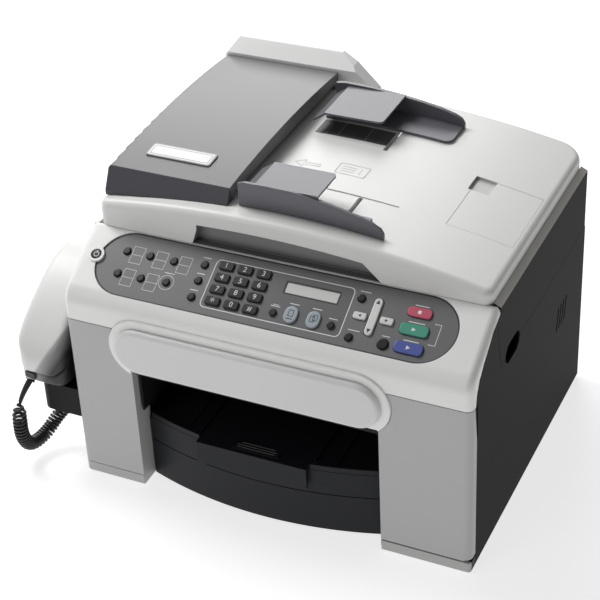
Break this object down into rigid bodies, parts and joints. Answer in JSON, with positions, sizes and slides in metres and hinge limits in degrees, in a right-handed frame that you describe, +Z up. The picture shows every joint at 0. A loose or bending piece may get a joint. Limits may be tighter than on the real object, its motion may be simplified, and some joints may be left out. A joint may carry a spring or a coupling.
{
  "type": "fax machine",
  "caption": "Desktop ink-jet fax machine with side handset, sloped keypad panel, sheet feeder with sliding guides, hinged scanner and front paper tray.",
  "frame": {"origin": "centre of the machine's footprint, handset included, on the surface it stands on", "axes": "+Z up, front facing -Y, +X to the right seen from the front"},
  "size_m": [0.4658, 0.3728, 0.3155],
  "materials": {
    "white_case": "fine matte moulded",
    "grey_front": "fine matte moulded",
    "light_grey": "smooth satin",
    "dark_side": "fine textured",
    "black_case": "textured",
    "foot_rubber": "matte",
    "circuit_board": "solder mask",
    "ink_plastic": "smooth",
    "cord_rubber": "satin",
    "steel": "plated",
    "tray_plastic": "fine textured",
    "roller_rubber": "ground",
    "platen_glass": "polished",
    "panel_grey": "fine matte",
    "display_glass": "clear window",
    "white_foam": "film on foam",
    "feeder_grey": "fine matte",
    "guide_grey": "smooth satin",
    "mode_key": "translucent",
    "red_key": "translucent",
    "green_key": "translucent",
    "blue_key": "translucent",
    "white_key": "smooth",
    "black_key": "glossy"
  },
  "bodies": {
    "root": {"base_pan": "black_case", "left_side_cover": "dark_side", "right_side_cover": "dark_side", "rear_cover": "dark_side", "left_front_cover": "grey_front", "inner_frame": "black_case", "feet": "foot_rubber", "main_board": "circuit_board", "ink_cartridges": "ink_plastic", "handset_cradle": "black_case", "handset_cord": "cord_rubber", "cord_plugs": "cord_rubber", "screws": "steel", "control_housing": "white_case", "front_bar": "light_grey", "panel_plate": "panel_grey", "display": "display_glass"},
    "scanner": {"scanner_case": "dark_side", "scanner_glass": "platen_glass"},
    "document_cover": {"document_cover": "white_case", "white_pad": "white_foam"},
    "handset": {"handset_shell": "white_case", "handset_grip": "black_case"},
    "ink_cover": {"ink_cover": "grey_front"},
    "paper_tray": {"paper_tray": "tray_plastic"},
    "output_tray": {"output_tray": "tray_plastic"},
    "paper_support": {"paper_support": "tray_plastic"},
    "feed_roller": {"feed_roller": "roller_rubber"},
    "eject_roller": {"eject_roller": "roller_rubber"},
    "print_carriage": {"print_carriage": "black_case"},
    "scan_bar": {"scan_bar": "black_case"},
    "adf_cover": {"adf_cover": "feeder_grey"},
    "adf_roller": {"adf_roller": "roller_rubber"},
    "front_guide": {"front_guide": "guide_grey"},
    "rear_guide": {"rear_guide": "guide_grey"},
    "output_flap": {"output_flap": "white_case"},
    "hook_switch": {"hook_switch": "white_key"},
    "key_1": {"key_1": "black_key"},
    "key_2": {"key_2": "black_key"},
    "key_3": {"key_3": "black_key"},
    "key_4": {"key_4": "black_key"},
    "key_5": {"key_5": "black_key"},
    "key_6": {"key_6": "black_key"},
    "key_7": {"key_7": "black_key"},
    "key_8": {"key_8": "black_key"},
    "key_9": {"key_9": "black_key"},
    "key_star": {"key_star": "black_key"},
    "key_0": {"key_0": "black_key"},
    "key_hash": {"key_hash": "black_key"},
    "round_keys": {"round_keys": "black_key"},
    "fax_mode_key": {"fax_mode_key": "mode_key"},
    "copy_mode_key": {"copy_mode_key": "mode_key"},
    "stop_key": {"stop_key": "red_key"},
    "colour_start_key": {"colour_start_key": "green_key"},
    "mono_start_key": {"mono_start_key": "blue_key"},
    "left_key": {"left_key": "white_key"},
    "right_key": {"right_key": "white_key"},
    "rocker_key": {"rocker_key": "white_key"},
    "ok_key": {"ok_key": "black_key"},
    "power_key": {"power_key": "black_key"}
  },
  "joints": [
    {"name": "scanner_hinge", "type": "hinge", "parent": "root", "child": "scanner", "pos_m": [0.031, 0.149, 0.182], "axis": [-1, 0, 0], "range_deg": [0, 40]},
    {"name": "document_cover_hinge", "type": "hinge", "parent": "scanner", "child": "document_cover", "pos_m": [0.031, 0.1495, 0.248], "axis": [-1, 0, 0], "range_deg": [0, 75]},
    {"name": "adf_cover_hinge", "type": "hinge", "parent": "document_cover", "child": "adf_cover", "pos_m": [-0.158, 0.0385, 0.27], "axis": [0, -1, 0], "range_deg": [0, 80]},
    {"name": "handset_lift", "type": "slide", "parent": "root", "child": "handset", "axis": [0, 0, 1], "range_m": [0, 0.12]},
    {"name": "paper_tray_slide", "type": "slide", "parent": "root", "child": "paper_tray", "axis": [0, -1, 0], "range_m": [0, 0.24]},
    {"name": "ink_cover_hinge", "type": "hinge", "parent": "root", "child": "ink_cover", "pos_m": [0.187, -0.1695, 0.016], "axis": [1, 0, 0], "range_deg": [0, 75]},
    {"name": "front_guide_slide", "type": "slide", "parent": "document_cover", "child": "front_guide", "axis": [0, 1, 0], "range_m": [0, 0.03]},
    {"name": "rear_guide_slide", "type": "slide", "parent": "document_cover", "child": "rear_guide", "axis": [0, -1, 0], "range_m": [0, 0.03]},
    {"name": "output_flap_hinge", "type": "hinge", "parent": "document_cover", "child": "output_flap", "pos_m": [0.216, 0.012, 0.2612], "axis": [0, 1, 0], "range_deg": [0, 150]},
    {"name": "paper_support_slide", "type": "slide", "parent": "output_tray", "child": "paper_support", "axis": [0, -1, 0], "range_m": [0, 0.09]},
    {"name": "output_tray_hinge", "type": "hinge", "parent": "paper_tray", "child": "output_tray", "pos_m": [0.021, 0.0365, 0.073], "axis": [-1, 0, 0], "range_deg": [0, 7]},
    {"name": "scan_bar_slide", "type": "slide", "parent": "scanner", "child": "scan_bar", "axis": [1, 0, 0], "range_m": [0, 0.262]},
    {"name": "print_carriage_slide", "type": "slide", "parent": "root", "child": "print_carriage", "axis": [-1, 0, 0], "range_m": [0, 0.165]},
    {"name": "hook_switch_travel", "type": "slide", "parent": "root", "child": "hook_switch", "axis": [0, 0, 1], "range_m": [0, 0.0024]},
    {"name": "feed_roller_spin", "type": "hinge", "parent": "root", "child": "feed_roller", "pos_m": [0.021, 0.0965, 0.104], "axis": [1, 0, 0], "continuous": true},
    {"name": "eject_roller_spin", "type": "hinge", "parent": "root", "child": "eject_roller", "pos_m": [0.021, -0.1095, 0.108], "axis": [1, 0, 0], "continuous": true},
    {"name": "adf_roller_spin", "type": "hinge", "parent": "document_cover", "child": "adf_roller", "pos_m": [-0.09, 0.0415, 0.2705], "axis": [0, 1, 0], "continuous": true},
    {"name": "rocker_key_tilt", "type": "hinge", "parent": "root", "child": "rocker_key", "pos_m": [0.126, -0.13307, 0.22971], "axis": [1, 0, 0], "range_deg": [-2, 2], "stiffness_Nm_per_rad": 0.05},
    {"name": "key_1_press", "type": "slide", "parent": "root", "child": "key_1", "axis": [0, 0.489, -0.8723], "range_m": [0, 0.0008], "stiffness_N_per_m": 300, "springref_m": -0.001},
    {"name": "key_2_press", "type": "slide", "parent": "root", "child": "key_2", "axis": [0, 0.489, -0.8723], "range_m": [0, 0.0008], "stiffness_N_per_m": 300, "springref_m": -0.001},
    {"name": "key_3_press", "type": "slide", "parent": "root", "child": "key_3", "axis": [0, 0.489, -0.8723], "range_m": [0, 0.0008], "stiffness_N_per_m": 300, "springref_m": -0.001},
    {"name": "key_4_press", "type": "slide", "parent": "root", "child": "key_4", "axis": [0, 0.489, -0.8723], "range_m": [0, 0.0008], "stiffness_N_per_m": 300, "springref_m": -0.001},
    {"name": "key_5_press", "type": "slide", "parent": "root", "child": "key_5", "axis": [0, 0.489, -0.8723], "range_m": [0, 0.0008], "stiffness_N_per_m": 300, "springref_m": -0.001},
    {"name": "key_6_press", "type": "slide", "parent": "root", "child": "key_6", "axis": [0, 0.489, -0.8723], "range_m": [0, 0.0008], "stiffness_N_per_m": 300, "springref_m": -0.001},
    {"name": "key_7_press", "type": "slide", "parent": "root", "child": "key_7", "axis": [0, 0.489, -0.8723], "range_m": [0, 0.0008], "stiffness_N_per_m": 300, "springref_m": -0.001},
    {"name": "key_8_press", "type": "slide", "parent": "root", "child": "key_8", "axis": [0, 0.489, -0.8723], "range_m": [0, 0.0008], "stiffness_N_per_m": 300, "springref_m": -0.001},
    {"name": "key_9_press", "type": "slide", "parent": "root", "child": "key_9", "axis": [0, 0.489, -0.8723], "range_m": [0, 0.0008], "stiffness_N_per_m": 300, "springref_m": -0.001},
    {"name": "key_star_press", "type": "slide", "parent": "root", "child": "key_star", "axis": [0, 0.489, -0.8723], "range_m": [0, 0.0008], "stiffness_N_per_m": 300, "springref_m": -0.001},
    {"name": "key_0_press", "type": "slide", "parent": "root", "child": "key_0", "axis": [0, 0.489, -0.8723], "range_m": [0, 0.0008], "stiffness_N_per_m": 300, "springref_m": -0.001},
    {"name": "key_hash_press", "type": "slide", "parent": "root", "child": "key_hash", "axis": [0, 0.489, -0.8723], "range_m": [0, 0.0008], "stiffness_N_per_m": 300, "springref_m": -0.001},
    {"name": "round_keys_press", "type": "slide", "parent": "root", "child": "round_keys", "axis": [0, 0.489, -0.8723], "range_m": [0, 0.0008], "stiffness_N_per_m": 300, "springref_m": -0.001},
    {"name": "fax_mode_key_press", "type": "slide", "parent": "root", "child": "fax_mode_key", "axis": [0, 0.489, -0.8723], "range_m": [0, 0.0008], "stiffness_N_per_m": 300, "springref_m": -0.001},
    {"name": "copy_mode_key_press", "type": "slide", "parent": "root", "child": "copy_mode_key", "axis": [0, 0.489, -0.8723], "range_m": [0, 0.0008], "stiffness_N_per_m": 300, "springref_m": -0.001},
    {"name": "stop_key_press", "type": "slide", "parent": "root", "child": "stop_key", "axis": [0, 0.489, -0.8723], "range_m": [0, 0.0008], "stiffness_N_per_m": 300, "springref_m": -0.001},
    {"name": "colour_start_key_press", "type": "slide", "parent": "root", "child": "colour_start_key", "axis": [0, 0.489, -0.8723], "range_m": [0, 0.0008], "stiffness_N_per_m": 300, "springref_m": -0.001},
    {"name": "mono_start_key_press", "type": "slide", "parent": "root", "child": "mono_start_key", "axis": [0, 0.489, -0.8723], "range_m": [0, 0.0008], "stiffness_N_per_m": 300, "springref_m": -0.001},
    {"name": "left_key_press", "type": "slide", "parent": "root", "child": "left_key", "axis": [0, 0.489, -0.8723], "range_m": [0, 0.0008], "stiffness_N_per_m": 300, "springref_m": -0.001},
    {"name": "right_key_press", "type": "slide", "parent": "root", "child": "right_key", "axis": [0, 0.489, -0.8723], "range_m": [0, 0.0008], "stiffness_N_per_m": 300, "springref_m": -0.001},
    {"name": "ok_key_press", "type": "slide", "parent": "root", "child": "ok_key", "axis": [0, 0.489, -0.8723], "range_m": [0, 0.0008], "stiffness_N_per_m": 300, "springref_m": -0.001},
    {"name": "power_key_press", "type": "slide", "parent": "root", "child": "power_key", "axis": [0, 0.489, -0.8723], "range_m": [0, 0.0008], "stiffness_N_per_m": 300, "springref_m": -0.001}
  ],
  "couplings": [
    {"joint": "rear_guide_slide", "follows": "front_guide_slide", "ratio": 1},
    {"joint": "hook_switch_travel", "follows": "handset_lift", "ratio": 0.02},
    {"joint": "eject_roller_spin", "follows": "feed_roller_spin", "ratio": 1}
  ]
}
